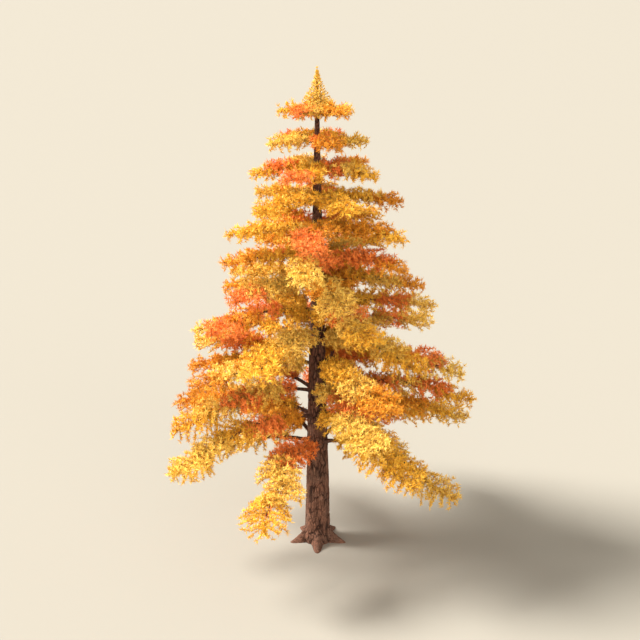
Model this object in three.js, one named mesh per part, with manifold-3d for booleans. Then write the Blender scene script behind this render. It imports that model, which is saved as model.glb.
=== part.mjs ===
// A larch in autumn colour, twelve metres tall, standing in the open.
//
// The trunk is one straight taper on a flare of five buttress roots. Thirteen whorls of
// five boughs, one whorl for each year's growth, carry flat sprays of needles. In the
// three lowest whorls each bough is a limb of its own with a mass of foliage at its end.
// Higher up, neighbouring limbs fork from one stem, and each fork is one mass.
//
// Millimetres, +Z up. The origin is the middle of the flat cut at ground level.

import * as THREE from 'three';
import { mergeVertices } from 'three/addons/utils/BufferGeometryUtils.js';
import Module from 'manifold-3d';

// ---- Driving dimensions ----

const TREE_HEIGHT = 12000;
const GAP = 0.4; // clear space between neighbouring solids

const TRUNK_TOP = 11080; // flat tip of the trunk, where the last year's shoot begins
const TRUNK_FOOT_RADIUS = 327; // what the taper gives at the ground, without the flare
const TRUNK_TIP_RADIUS = 48;
const TRUNK_SIDES = 30;
const TRUNK_RINGS = 12;
const FLUTES = 5;
const FLUTE_DEPTH = 0.018; // of the trunk's radius
const FLUTE_TWIST = 900; // height over which the flutes turn by one radian

const ROOTS = 5;
const ROOT_FRONT = -Math.PI / 2; // one root points to the front, along -Y
const ROOT_REACH = 780; // from the trunk's axis to a root's toe
const ROOT_HEIGHT = 430; // where the flare has run out into the trunk
const ROOT_HOLLOW = 45; // how far the flare stands out between two roots
const ROOT_SEED = 5;

const LOWEST_WHORL = 2700; // height at which its boughs leave the trunk's axis
const YEAR_GROWTH = 690; // from one whorl to the next
const BOUGHS = 5; // in each whorl
const BOUGH_STRAY = 20; // degrees over which a bough strays from its even place

// From the lowest whorl up: how far it reaches from the axis, which way its first bough
// points, in degrees anticlockwise from +X, and the seed of its small differences.
const WHORLS = [
  { reach: 4100, turn: 45, seed: 62 },
  { reach: 4330, turn: 15, seed: 486 },
  { reach: 4070, turn: 6, seed: 112 },
  { reach: 3760, turn: 0, seed: 873 },
  { reach: 3500, turn: 30, seed: 315 },
  { reach: 3070, turn: 3, seed: 580 },
  { reach: 2580, turn: 69, seed: 749 },
  { reach: 2490, turn: 48, seed: 93 },
  { reach: 2380, turn: 51, seed: 93 },
  { reach: 1950, turn: 3, seed: 522 },
  { reach: 1720, turn: 33, seed: 700 },
  { reach: 1230, turn: 63, seed: 704 },
  { reach: 980, turn: 18, seed: 256 },
];
const OWN_BOUGH_WHORLS = 3; // lowest whorls, whose boughs are limbs of their own
const WIDE_FORK_WHORLS = 2; // highest whorls, whose boughs make only two masses
const SINGLE_BOUGHS = [[0], [1], [2], [3], [4]]; // the boughs that share a stem
const NARROW_FORKS = [[0, 1], [2, 3], [4]];
const WIDE_FORKS = [[0, 1, 2], [3, 4]];

// A pair of values belongs to the lowest whorl and the highest.
const BOUGH_RISE = [0.46, 0.2]; // slope at which a bough leaves the trunk
const LOW_TIP_DROPS = [720, 520, 350, 200]; // how far its tip hangs below its whorl
const TIP_DROP = 120; // the same, in the whorls above those
const LIMB_RADIUS = [56, 18]; // of a bough, where it leaves the trunk's axis
const LIMB_TIP_RADIUS = 9;
const BOUGH_SIDES = 6;
const BOUGH_STEPS = 2;
const STEM_SIDES = 3;
const STEM_STEP = 900; // from one ring to the next
const STEM_SINK = 20; // how far a stem is drawn back into its bough before it is cut
const FORK_OUT = 110; // from the trunk's bark to where the limbs of a fork part
const FORK_OVERLAP = 70; // how far they start back inside their common stem
const STALK_MARGIN = 60; // from the stem's start to the first stalk that leaves it
const STALK_FROM = 0.17; // of its length: a spray further off its limb has a stalk
const STALK_SIDES = 3;
const STALK_RADIUS = [14, 8];

const SPRAY_LENGTH = [1280, 760];
const SPRAY_WIDTH = 0.9; // of its length
const SPRAY_THICKNESS = 0.42; // of its length
const SPRAY_STEP = 0.5; // of its length, from one spray to the next along a bough
const SPRAY_START = [1280, 420]; // middle of the innermost spray, from the axis
const SPRAY_START_FALL = 1.3; // how soon, going up, the start shrinks to its last value
const SPRAY_SIDESTEP = 0.4; // of its length, over which it strays to the side
const SPRAY_LIFT = 0.09; // of its length, over which it strays up and down
const SPRAY_PITCH = 0.2; // of its bough's slope
const SPRAY_YAW = 50; // degrees over which it turns from its bough's direction
const SPRAY_TEETH = 5;
const TOOTH_DEPTH = 0.12; // of the spray's half width
const TOOTH_DROOP = 0.15; // of the spray's half thickness
const STALK_REACH = 0.42; // of its length, from the stalk's root to the spray's middle

const LEADER_SKIRT_HEIGHT = 11130;
const LEADER_SKIRT_SPRAYS = 5;
const LEADER_SKIRT_LENGTH = 320;
const LEADER_SKIRT_PITCH = 0.35; // radians above level
const LEADER_CONE_RADIUS = 230;
const LEADER_CONE_FOOT = 11220;
const LEADER_CONE_SIDES = 7;
const LEADER_TIP_COVER = 100; // how far the cone's tip stands above the shoot's
const SHOOT_RADIUS = 18;
const MASS_CLEARANCE = 1; // swell of a mass that its neighbour is cut by

const BARK = 0x6b4738;
const NEEDLE_TINTS = [0xf7d65c, 0xeebb3c, 0xdc9a2e, 0xec7437]; // lemon, gold, amber, orange
const TINT_SHARES = [0.3, 0.64, 0.84, 1]; // running total of each tint's share

// ---- Solids ----

const wasm = await Module();
wasm.setup();

function solidFrom(geometry) {
  geometry.deleteAttribute('normal');
  geometry.deleteAttribute('uv');
  const merged = mergeVertices(geometry, 1e-3);
  return new wasm.Manifold(new wasm.Mesh({
    numProp: 3,
    vertProperties: new Float32Array(merged.attributes.position.array),
    triVerts: new Uint32Array(merged.index.array),
  }));
}

function geometryFrom(solid) {
  const mesh = solid.getMesh();
  const geometry = new THREE.BufferGeometry();
  geometry.setAttribute('position', new THREE.BufferAttribute(mesh.vertProperties, 3));
  geometry.setIndex(new THREE.BufferAttribute(mesh.triVerts, 1));
  geometry.computeVertexNormals();
  return geometry;
}

function joined(solids) {
  return solids.reduce((sum, solid) => sum.add(solid));
}

function largestPiece(solid) {
  return solid.decompose().reduce((a, b) => (b.volume() > a.volume() ? b : a));
}

function boxesTouch(a, b) {
  const one = a.boundingBox();
  const two = b.boundingBox();
  return [0, 1, 2].every((k) => one.min[k] < two.max[k] && two.min[k] < one.max[k]);
}

// ---- Small sums ----

const radians = THREE.MathUtils.degToRad;
const mix = THREE.MathUtils.lerp;

function randomFrom(seed) {
  let state = seed;
  const next = () => {
    state = (state * 1664525 + 1013904223) % 4294967296;
    return state / 4294967296;
  };
  for (let k = 0; k < 4; k += 1) next();
  return next;
}

function byHeight([lowest, highest], whorl, haste = 1) {
  return mix(lowest, highest, Math.min(1, (haste * whorl) / (WHORLS.length - 1)));
}

// ---- Trunk ----

const rootRandom = randomFrom(ROOT_SEED);
const rootShares = Array.from({ length: ROOTS }, () => 0.9 + 0.2 * rootRandom());

function trunkTaper(height) {
  return mix(TRUNK_FOOT_RADIUS, TRUNK_TIP_RADIUS, height / TRUNK_TOP);
}

function trunkRadius(height, angle) {
  const around = ((angle - ROOT_FRONT) / (2 * Math.PI)) * ROOTS;
  const root = ((Math.round(around) % ROOTS) + ROOTS) % ROOTS;
  const ridge = ((1 + Math.cos(around * 2 * Math.PI)) / 2) ** 3;
  const climb = Math.max(0, 1 - height / ROOT_HEIGHT) ** 1.6;
  const toe = (ROOT_REACH - TRUNK_FOOT_RADIUS) * rootShares[root];
  const flute = 1 + FLUTE_DEPTH * Math.sin(FLUTES * angle + height / FLUTE_TWIST);
  return trunkTaper(height) * flute + climb * mix(ROOT_HOLLOW, toe, ridge);
}

// growth swells the trunk, which gives the tool that keeps its neighbours clear of it.
function trunkGeometry(growth = 0) {
  const geometry = new THREE.CylinderGeometry(1, 1, 1, TRUNK_SIDES, TRUNK_RINGS);
  geometry.rotateX(Math.PI / 2);
  const place = geometry.attributes.position;
  for (let k = 0; k < place.count; k += 1) {
    const share = place.getZ(k) + 0.5;
    const height = TRUNK_TOP * share ** 2;
    const angle = Math.atan2(place.getY(k), place.getX(k));
    const onRing = Math.hypot(place.getX(k), place.getY(k));
    const radius = onRing * (trunkRadius(height, angle) + growth);
    const lift = share > 0.999 ? growth : 0;
    place.setXYZ(k, radius * Math.cos(angle), radius * Math.sin(angle), height + lift);
  }
  return geometry;
}

// ---- Plan of the crown ----

function planBough(whorl, number, random) {
  const { reach: whorlReach, turn } = WHORLS[whorl];
  const length = byHeight(SPRAY_LENGTH, whorl);
  const rise = byHeight(BOUGH_RISE, whorl);
  const direction = turn + (360 / BOUGHS) * number + (random() - 0.5) * BOUGH_STRAY;
  const reach = whorlReach * (0.93 + 0.12 * random());
  const last = reach - length / 2;
  const first = Math.min(byHeight(SPRAY_START, whorl, SPRAY_START_FALL), last);
  const count = Math.max(1, Math.round((last - first) / (SPRAY_STEP * length)) + 1);
  const sprays = [];
  for (let k = 0; k < count; k += 1) {
    const atEnd = k === count - 1;
    sprays.push({
      along: atEnd ? last : mix(first, last, k / (count - 1)),
      side: (random() - 0.5) * SPRAY_SIDESTEP * length * (atEnd ? 0.3 : 1),
      lift: (random() - 0.5) * SPRAY_LIFT * length,
      length: length * (0.86 + 0.26 * random()),
      yaw: radians((random() - 0.5) * SPRAY_YAW),
      tint: random(),
    });
  }
  return {
    whorl,
    direction: radians(direction),
    reach,
    rise,
    sag: rise * reach + (LOW_TIP_DROPS[whorl] ?? TIP_DROP),
    sprays,
  };
}

function planWhorl(whorl) {
  const random = randomFrom(WHORLS[whorl].seed);
  return Array.from({ length: BOUGHS }, (_, number) => planBough(whorl, number, random));
}

function pointOn(bough, along, side = 0, lift = 0, direction = bough.direction) {
  const drop = bough.sag * (along / bough.reach) ** 2;
  return new THREE.Vector3(
    along * Math.cos(direction) - side * Math.sin(direction),
    along * Math.sin(direction) + side * Math.cos(direction),
    LOWEST_WHORL + YEAR_GROWTH * bough.whorl + bough.rise * along - drop + lift,
  );
}

// ---- Limbs ----

// A tapering limb: a cylinder whose rings are set on a curve.
function limbGeometry(curve, steps, sides, radiusAt) {
  const frames = curve.computeFrenetFrames(steps);
  const geometry = new THREE.CylinderGeometry(1, 1, 1, sides, steps);
  const place = geometry.attributes.position;
  for (let k = 0; k < place.count; k += 1) {
    const share = place.getY(k) + 0.5;
    const ring = Math.round(share * steps);
    const point = curve.getPointAt(ring / steps);
    const radius = radiusAt(share);
    point.addScaledVector(frames.binormals[ring], place.getX(k) * radius);
    point.addScaledVector(frames.normals[ring], place.getZ(k) * radius);
    place.setXYZ(k, point.x, point.y, point.z);
  }
  return geometry;
}

function limbRadius(bough, along) {
  return mix(byHeight(LIMB_RADIUS, bough.whorl), LIMB_TIP_RADIUS, along / bough.reach);
}

// The stretch of a bough between two distances from the trunk's axis. It starts in the
// direction of its fork and has swung into its own by its first spray.
function boughStretch(bough, from, to, steps, sides, growth = 0, fork = bough.direction) {
  const swingEnd = bough.sprays[0].along;
  const points = [];
  for (let k = 0; k <= steps; k += 1) {
    const along = mix(from, to, k / steps);
    const swung = THREE.MathUtils.smoothstep(along, from, swingEnd);
    points.push(pointOn(bough, along, 0, 0, mix(fork, bough.direction, swung)));
  }
  const radiusAt = (share) => limbRadius(bough, mix(from, to, share)) + growth;
  return limbGeometry(new THREE.CatmullRomCurve3(points), steps, sides, radiusAt);
}

// ---- Sprays ----

// A toothed blade: a sphere of two bands whose rim steps in and out.
function bladeGeometry(length, growth = 0) {
  const geometry = new THREE.SphereGeometry(1, 2 * SPRAY_TEETH, 2);
  geometry.rotateX(Math.PI / 2);
  const place = geometry.attributes.position;
  for (let k = 0; k < place.count; k += 1) {
    const onRim = Math.abs(place.getZ(k)) < 0.5;
    const step = Math.round(Math.atan2(place.getY(k), place.getX(k)) / (Math.PI / SPRAY_TEETH));
    const isTooth = step % 2 === 0;
    const inset = isTooth ? 1 : 1 - TOOTH_DEPTH;
    if (onRim) {
      place.setXYZ(k, place.getX(k) * inset, place.getY(k) * inset, isTooth ? -TOOTH_DROOP : 0);
    }
  }
  return geometry.scale(
    length / 2 + growth,
    (length * SPRAY_WIDTH) / 2 + growth,
    (length * SPRAY_THICKNESS) / 2 + growth,
  );
}

function sprayGeometry(bough, spray, growth) {
  const slope = bough.rise - (2 * bough.sag * spray.along) / bough.reach ** 2;
  const pitch = Math.atan(slope * SPRAY_PITCH);
  const heading = bough.direction + spray.yaw;
  const middle = pointOn(bough, spray.along, spray.side, spray.lift);
  return bladeGeometry(spray.length, growth).applyMatrix4(sprayFrame(middle, heading, pitch));
}

function sprayFrame(middle, heading, pitch) {
  const lengthwise = new THREE.Vector3(
    Math.cos(heading) * Math.cos(pitch),
    Math.sin(heading) * Math.cos(pitch),
    Math.sin(pitch),
  );
  const across = new THREE.Vector3(-Math.sin(heading), Math.cos(heading), 0);
  const upright = new THREE.Vector3().crossVectors(lengthwise, across);
  return new THREE.Matrix4().makeBasis(lengthwise, across, upright).setPosition(middle);
}

function stalkGeometry(bough, spray, innermost, growth = 0) {
  const root = pointOn(bough, Math.max(innermost, spray.along - STALK_REACH * spray.length));
  const middle = pointOn(bough, spray.along, spray.side, spray.lift);
  const radius = byHeight(STALK_RADIUS, bough.whorl) + growth;
  return limbGeometry(new THREE.LineCurve3(root, middle), 1, STALK_SIDES, () => radius);
}

// ---- Boughs and masses of foliage ----

// Where a bough of its own ends and its foliage begins.
function innerEdge(bough) {
  const [spray] = bough.sprays;
  return spray.along - (spray.length / 2) * (1 - TOOTH_DEPTH / 2);
}

function insideTrunk(bough) {
  return 0.5 * trunkTaper(LOWEST_WHORL + YEAR_GROWTH * bough.whorl);
}

// Where the limbs of a fork part from their common stem.
function forkPoint(bough) {
  return trunkTaper(LOWEST_WHORL + YEAR_GROWTH * bough.whorl) + FORK_OUT;
}

function forkStemGeometry(bough, fork, growth = 0) {
  const foot = pointOn(bough, insideTrunk(bough), 0, 0, fork);
  const end = pointOn(bough, forkPoint(bough), 0, 0, fork);
  const radius = limbRadius(bough, 0) + growth;
  return limbGeometry(new THREE.LineCurve3(foot, end), 1, STEM_SIDES, () => radius);
}

function boughSolid(bough, growth = 0) {
  const end = innerEdge(bough) + growth;
  const limb = boughStretch(bough, insideTrunk(bough), end, BOUGH_STEPS, BOUGH_SIDES, growth);
  return solidFrom(limb);
}

function massSolid(boughs, fork, growth = 0) {
  const hasOwnLimb = boughs[0].whorl < OWN_BOUGH_WHORLS;
  const pieces = hasOwnLimb ? [] : [forkStemGeometry(boughs[0], fork, growth)];
  for (const bough of boughs) {
    const start = hasOwnLimb ? innerEdge(bough) - STEM_SINK : forkPoint(bough) - FORK_OVERLAP;
    const end = bough.sprays.at(-1).along;
    const steps = Math.max(2, Math.round((end - start) / STEM_STEP));
    pieces.push(boughStretch(bough, start, end, steps, STEM_SIDES, growth, fork));
    for (const spray of bough.sprays) {
      if (Math.abs(spray.side) > STALK_FROM * spray.length) {
        pieces.push(stalkGeometry(bough, spray, start + STALK_MARGIN, growth));
      }
      pieces.push(sprayGeometry(bough, spray, growth));
    }
  }
  return joined(pieces.map(solidFrom));
}

function forksOf(whorl) {
  if (whorl < OWN_BOUGH_WHORLS) return SINGLE_BOUGHS;
  return whorl < WHORLS.length - WIDE_FORK_WHORLS ? NARROW_FORKS : WIDE_FORKS;
}

// ---- Leader shoot ----

function leaderSolid() {
  const foot = new THREE.Vector3(0, 0, TRUNK_TOP + GAP);
  const tip = new THREE.Vector3(0, 0, TREE_HEIGHT - LEADER_TIP_COVER);
  const shoot = limbGeometry(new THREE.LineCurve3(foot, tip), 1, STEM_SIDES, () => SHOOT_RADIUS);
  const coneHeight = TREE_HEIGHT - LEADER_CONE_FOOT;
  const cone = new THREE.ConeGeometry(LEADER_CONE_RADIUS, coneHeight, LEADER_CONE_SIDES);
  cone.rotateX(Math.PI / 2);
  cone.translate(0, 0, LEADER_CONE_FOOT + coneHeight / 2);
  const pieces = [shoot, cone];
  for (let k = 0; k < LEADER_SKIRT_SPRAYS; k += 1) {
    const heading = (2 * Math.PI * k) / LEADER_SKIRT_SPRAYS;
    const out = (LEADER_SKIRT_LENGTH / 2) * Math.cos(LEADER_SKIRT_PITCH);
    const middle = new THREE.Vector3(
      out * Math.cos(heading),
      out * Math.sin(heading),
      LEADER_SKIRT_HEIGHT + (LEADER_SKIRT_LENGTH / 2) * Math.sin(LEADER_SKIRT_PITCH),
    );
    const blade = bladeGeometry(LEADER_SKIRT_LENGTH);
    pieces.push(blade.applyMatrix4(sprayFrame(middle, heading, LEADER_SKIRT_PITCH)));
  }
  return joined(pieces.map(solidFrom));
}

// ---- The tree ----

const tree = new THREE.Group();

function addPart(name, solid, color) {
  const material = new THREE.MeshStandardMaterial({ color, roughness: 0.85, metalness: 0 });
  const mesh = new THREE.Mesh(geometryFrom(solid), material);
  mesh.name = name;
  tree.add(mesh);
}

function tintOf(spray) {
  return NEEDLE_TINTS[TINT_SHARES.findIndex((share) => spray.tint < share)];
}

// What a new mass is cut clear of: the limbs first, then every mass before it.
const obstacles = [solidFrom(trunkGeometry(GAP))];

function cutClear(solid) {
  const near = obstacles.filter((obstacle) => boxesTouch(obstacle, solid));
  return largestPiece(near.reduce((rest, obstacle) => rest.subtract(obstacle), solid));
}

const crown = WHORLS.map((_, whorl) => planWhorl(whorl));

addPart('trunk', solidFrom(trunkGeometry()), BARK);

crown.slice(0, OWN_BOUGH_WHORLS).forEach((boughs, whorl) => {
  boughs.forEach((bough, number) => {
    const limb = largestPiece(boughSolid(bough).subtract(obstacles[0]));
    addPart(`bough_${whorl + 1}_${number + 1}`, limb, BARK);
  });
});
crown.slice(0, OWN_BOUGH_WHORLS).flat().forEach((bough) => {
  obstacles.push(boughSolid(bough, GAP));
});

crown.forEach((boughs, whorl) => {
  forksOf(whorl).forEach((members, number) => {
    const own = members.map((member) => boughs[member]);
    const fork = (own[0].direction + own.at(-1).direction) / 2;
    const name = `needles_${whorl + 1}_${number + 1}`;
    addPart(name, cutClear(massSolid(own, fork)), tintOf(own[0].sprays.at(-1)));
    obstacles.push(massSolid(own, fork, MASS_CLEARANCE));
  });
});

addPart('leader', cutClear(leaderSolid()), NEEDLE_TINTS[0]);

export default tree;
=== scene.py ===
# %% [markdown]
# # A larch in autumn colour
#
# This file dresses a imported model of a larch, twelve metres tall. The model gives the
# trunk, fifteen low boughs, forty-three masses of foliage and the tree's tip as plain
# solids. Each is replaced here by what it stands for: furrowed bark, limbs, twigs and
# needles. The crown is grown by the same rule as the solids, so every spray lands where
# its solid is.

import math

import bpy
import numpy as np
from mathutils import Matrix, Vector, noise


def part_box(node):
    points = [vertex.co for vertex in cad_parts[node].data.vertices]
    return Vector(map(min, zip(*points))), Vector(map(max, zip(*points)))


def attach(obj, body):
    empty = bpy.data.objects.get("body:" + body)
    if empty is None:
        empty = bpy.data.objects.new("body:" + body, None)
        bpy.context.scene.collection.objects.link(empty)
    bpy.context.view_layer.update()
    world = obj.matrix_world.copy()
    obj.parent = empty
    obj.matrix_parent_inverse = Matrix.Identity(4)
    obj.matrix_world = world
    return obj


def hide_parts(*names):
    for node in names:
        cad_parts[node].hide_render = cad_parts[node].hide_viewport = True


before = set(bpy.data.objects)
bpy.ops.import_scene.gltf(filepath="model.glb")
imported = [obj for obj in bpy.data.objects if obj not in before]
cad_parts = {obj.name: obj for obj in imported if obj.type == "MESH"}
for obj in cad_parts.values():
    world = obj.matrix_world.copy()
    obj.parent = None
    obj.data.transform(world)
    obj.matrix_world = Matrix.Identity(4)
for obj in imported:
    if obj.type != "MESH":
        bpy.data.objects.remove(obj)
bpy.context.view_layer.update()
bpy.ops.object.select_all(action="DESELECT")

# %% [markdown]
# ## Measures of the tree
#
# A larch adds one whorl of boughs a year, so a whorl is the unit of the whole plan. A
# bough leaves the trunk at a slope, carries on outward and sags under its own weight,
# and the low ones sag most. The flat sprays along it are what shows from afar. These
# are the numbers that the solids were made from, in metres. A pair of them belongs to
# the lowest whorl and the highest, or says how small a share may be and how far it varies.

# %% Measures of the tree
TRUNK_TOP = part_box("trunk")[1].z
TREE_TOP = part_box("leader")[1].z
TRUNK_FOOT_RADIUS = 0.327
TRUNK_TIP_RADIUS = 0.048
FLUTES = 5
FLUTE_DEPTH = 0.018
FLUTE_TWIST = 0.9

ROOTS = 5
ROOT_FRONT = -math.pi / 2
ROOT_REACH = 0.78
ROOT_HEIGHT = 0.43
ROOT_HOLLOW = 0.045
ROOT_NARROWING = 3
ROOT_STEEPNESS = 1.6
ROOT_SHARE = (0.9, 0.2)
ROOT_SEED = 5

LOWEST_WHORL = 2.7
YEAR_GROWTH = 0.69
BOUGHS = 5
BOUGH_STRAY = 20
WHORLS = [  # reach, direction of the first bough in degrees, seed
    (4.10, 45, 62), (4.33, 15, 486), (4.07, 6, 112), (3.76, 0, 873), (3.50, 30, 315),
    (3.07, 3, 580), (2.58, 69, 749), (2.49, 48, 93), (2.38, 51, 93), (1.95, 3, 522),
    (1.72, 33, 700), (1.23, 63, 704), (0.98, 18, 256),
]
OWN_BOUGH_WHORLS = 3
SINGLE_BOUGHS = [[0], [1], [2], [3], [4]]
NARROW_FORKS = [[0, 1], [2, 3], [4]]
WIDE_FORKS = [[0, 1, 2], [3, 4]]
WIDE_FORK_WHORLS = 2
FORK_OUT = 0.11
FORK_OVERLAP = 0.07

REACH_SHARE = (0.93, 0.12)
BOUGH_RISE = (0.46, 0.20)
LOW_TIP_DROPS = (0.72, 0.52, 0.35, 0.20)
TIP_DROP = 0.12
LIMB_RADIUS = (0.056, 0.018)
LIMB_TIP_RADIUS = 0.009

SPRAY_LENGTH = (1.28, 0.76)
SPRAY_LENGTH_SHARE = (0.86, 0.26)
SPRAY_WIDTH = 0.9
SPRAY_THICKNESS = 0.36
SPRAY_STEP = 0.5
SPRAY_START = (1.28, 0.42)
SPRAY_START_FALL = 1.3
SPRAY_SIDESTEP = 0.4
LAST_SIDESTEP = 0.3
SPRAY_LIFT = 0.09
SPRAY_PITCH = 0.2
SPRAY_YAW = 50
SPRAY_TEETH = 5
TOOTH_DEPTH = 0.12

TINTS = ("lemon", "gold", "amber", "orange")
TINT_SHARES = (0.30, 0.64, 0.84, 1.0)
print("whorls:", len(WHORLS), "trunk top", round(TRUNK_TOP, 2), "tree top", round(TREE_TOP, 2))

# %% [markdown]
# ## The plan of the crown
#
# Each whorl has a seed, and a small generator of random numbers deals out how far its
# boughs and sprays stray from even places. The draws come in the same order as in the
# solids. A library generator would be simpler to call, but it would deal other numbers.


# %% The plan of the crown
DRAW_FACTOR = 1664525
DRAW_STEP = 1013904223
DRAW_RANGE = 2 ** 32
DROPPED_DRAWS = 4


def mix(a, b, share):
    return a + (b - a) * share


def draws_from(seed):
    """Numbers from 0 to 1 without end. The first few, which are poor, are dropped."""
    state = seed
    drawn = 0
    while True:
        state = (state * DRAW_FACTOR + DRAW_STEP) % DRAW_RANGE
        drawn += 1
        if drawn > DROPPED_DRAWS:
            yield state / DRAW_RANGE


def drawn_share(pair, draw):
    return pair[0] + pair[1] * next(draw)


def by_height(pair, whorl, haste=1.0):
    return mix(pair[0], pair[1], min(1.0, haste * whorl / (len(WHORLS) - 1)))


def plan_bough(whorl, number, draw):
    whorl_reach, turn, _ = WHORLS[whorl]
    length = by_height(SPRAY_LENGTH, whorl)
    rise = by_height(BOUGH_RISE, whorl)
    direction = turn + 360 / BOUGHS * number + (next(draw) - 0.5) * BOUGH_STRAY
    reach = whorl_reach * drawn_share(REACH_SHARE, draw)
    last = reach - length / 2
    first = min(by_height(SPRAY_START, whorl, SPRAY_START_FALL), last)
    count = max(1, math.floor((last - first) / (SPRAY_STEP * length) + 0.5) + 1)
    sprays = []
    for k in range(count):
        at_end = k == count - 1
        sprays.append({
            "along": last if at_end else mix(first, last, k / (count - 1)),
            "side": (next(draw) - 0.5) * SPRAY_SIDESTEP * length * (LAST_SIDESTEP if at_end else 1),
            "lift": (next(draw) - 0.5) * SPRAY_LIFT * length,
            "length": length * drawn_share(SPRAY_LENGTH_SHARE, draw),
            "yaw": math.radians((next(draw) - 0.5) * SPRAY_YAW),
            "tint": next(draw),
        })
    drop = LOW_TIP_DROPS[whorl] if whorl < len(LOW_TIP_DROPS) else TIP_DROP
    return {
        "whorl": whorl, "number": number, "direction": math.radians(direction),
        "reach": reach, "rise": rise, "sag": rise * reach + drop, "sprays": sprays,
    }


def plan_whorl(whorl):
    draw = draws_from(WHORLS[whorl][2])
    return [plan_bough(whorl, number, draw) for number in range(BOUGHS)]


def point_on(bough, along, side=0.0, lift=0.0, direction=None):
    direction = bough["direction"] if direction is None else direction
    drop = bough["sag"] * (along / bough["reach"]) ** 2
    height = LOWEST_WHORL + YEAR_GROWTH * bough["whorl"] + bough["rise"] * along - drop + lift
    out, across = math.cos(direction), math.sin(direction)
    return (along * out - side * across, along * across + side * out, height)


def forks_of(whorl):
    if whorl < OWN_BOUGH_WHORLS:
        return SINGLE_BOUGHS
    return NARROW_FORKS if whorl < len(WHORLS) - WIDE_FORK_WHORLS else WIDE_FORKS


crown = [plan_whorl(whorl) for whorl in range(len(WHORLS))]
spray_count = sum(len(bough["sprays"]) for boughs in crown for bough in boughs)
print("boughs:", sum(len(boughs) for boughs in crown), "sprays:", spray_count)

# %% [markdown]
# ## Camera
#
# The eye stands well above the low boughs and looks down a little, so the tops of the
# sprays show. A long lens from some way off keeps the tree's sides nearly parallel.

# %% Camera
EYE_DISTANCE = 25.4
EYE_HEIGHT = 14.2
EYE_SIDE = 0.065
LOOK_DOWN = math.radians(18)
FOCAL_PIXELS = 1100
FRAME_PIXELS = 640
SENSOR_WIDTH = 36
SIGHT = 2000

bpy.ops.object.camera_add(
    location=(EYE_SIDE, -EYE_DISTANCE, EYE_HEIGHT),
    rotation=(math.pi / 2 - LOOK_DOWN, 0, 0),
)
camera = bpy.context.object
camera.name = "eye"
camera.data.sensor_width = SENSOR_WIDTH
camera.data.lens = SENSOR_WIDTH * FOCAL_PIXELS / FRAME_PIXELS
camera.data.clip_end = SIGHT
bpy.context.scene.camera = camera
print("lens", round(camera.data.lens, 1), "mm")

# %% [markdown]
# ## Meshes from arrays
#
# A crown has hundreds of thousands of needles. Adding each with an operator would take
# hours, so twigs and needles are worked out as arrays of points and faces, and each
# kind becomes one joined mesh. Its faces all have the same count of corners, apart from
# the caps of tubes, which lets Blender take them in one go.


# %% Meshes from arrays
UP = np.array([0, 0, 1.0])


def add_mesh(name, points, faces, material, caps=(), smooth=False):
    """One object from an array of points, an array of faces and arrays of end caps."""
    mesh = bpy.data.meshes.new(name)
    points = np.asarray(points, np.float32).reshape(-1, 3)
    faces = np.asarray(faces, np.int32)
    corners = [faces.ravel()] + [np.asarray(cap, np.int32).ravel() for cap in caps]
    sizes = [np.full(len(faces), faces.shape[1], np.int32)]
    sizes += [np.full(len(cap), np.asarray(cap).shape[1], np.int32) for cap in caps]
    corners, sizes = np.concatenate(corners), np.concatenate(sizes)
    starts = np.concatenate(([0], np.cumsum(sizes)[:-1])).astype(np.int32)
    mesh.vertices.add(len(points))
    mesh.vertices.foreach_set("co", points.ravel())
    mesh.loops.add(len(corners))
    mesh.loops.foreach_set("vertex_index", corners)
    mesh.polygons.add(len(sizes))
    mesh.polygons.foreach_set("loop_start", starts)
    mesh.polygons.foreach_set("use_smooth", np.full(len(sizes), smooth, bool))
    mesh.update(calc_edges=True)
    mesh.materials.append(material)
    piece = bpy.data.objects.new(name, mesh)
    bpy.context.scene.collection.objects.link(piece)
    return piece


def store(piece, name, values):
    """Keeps one number a point on the mesh, for a material to read."""
    layer = piece.data.attributes.new(name, "FLOAT", "POINT")
    layer.data.foreach_set("value", np.asarray(values, np.float32))


def unit(vectors):
    return vectors / np.maximum(np.linalg.norm(vectors, axis=-1, keepdims=True), 1e-9)


def arc(start, bend, end, share):
    """Points on a smooth curve from start to end, for shares from 0 to 1."""
    return (1 - share) ** 2 * start + 2 * share * (1 - share) * bend + share ** 2 * end


def tubes(paths, radii, sides):
    """Closed tapering tubes. paths is (tubes, rings, 3) and radii is (tubes, rings)."""
    count, rings, _ = paths.shape
    along = unit(np.gradient(paths, axis=1))
    least = np.argmin(np.abs(along.mean(axis=1)), axis=1)
    reference = np.eye(3)[least][:, None, :]
    across = unit(np.cross(along, np.broadcast_to(reference, along.shape)))
    upright = np.cross(along, across)
    turn = np.arange(sides) * 2 * math.pi / sides
    ring = (
        across[:, :, None, :] * np.cos(turn)[:, None]
        + upright[:, :, None, :] * np.sin(turn)[:, None]
    )
    points = paths[:, :, None, :] + ring * radii[:, :, None, None]
    index = np.arange(count * rings * sides).reshape(count, rings, sides)
    low, high = index[:, :-1], index[:, 1:]
    walls = np.stack([low, np.roll(low, -1, 2), np.roll(high, -1, 2), high], -1).reshape(-1, 4)
    ends = np.concatenate([index[:, 0, ::-1], index[:, -1]])
    return points.reshape(-1, 3), walls, ends


def add_tubes(name, paths, radii, sides, material, relief, smooth=True):
    """One object of closed tubes. All its bark has the same relief."""
    points, walls, ends = tubes(paths, radii, sides)
    piece = add_mesh(name, points, walls, material, [ends], smooth)
    store(piece, "relief", np.full(len(points), relief))
    return piece


print("mesh helpers ready")

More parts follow.
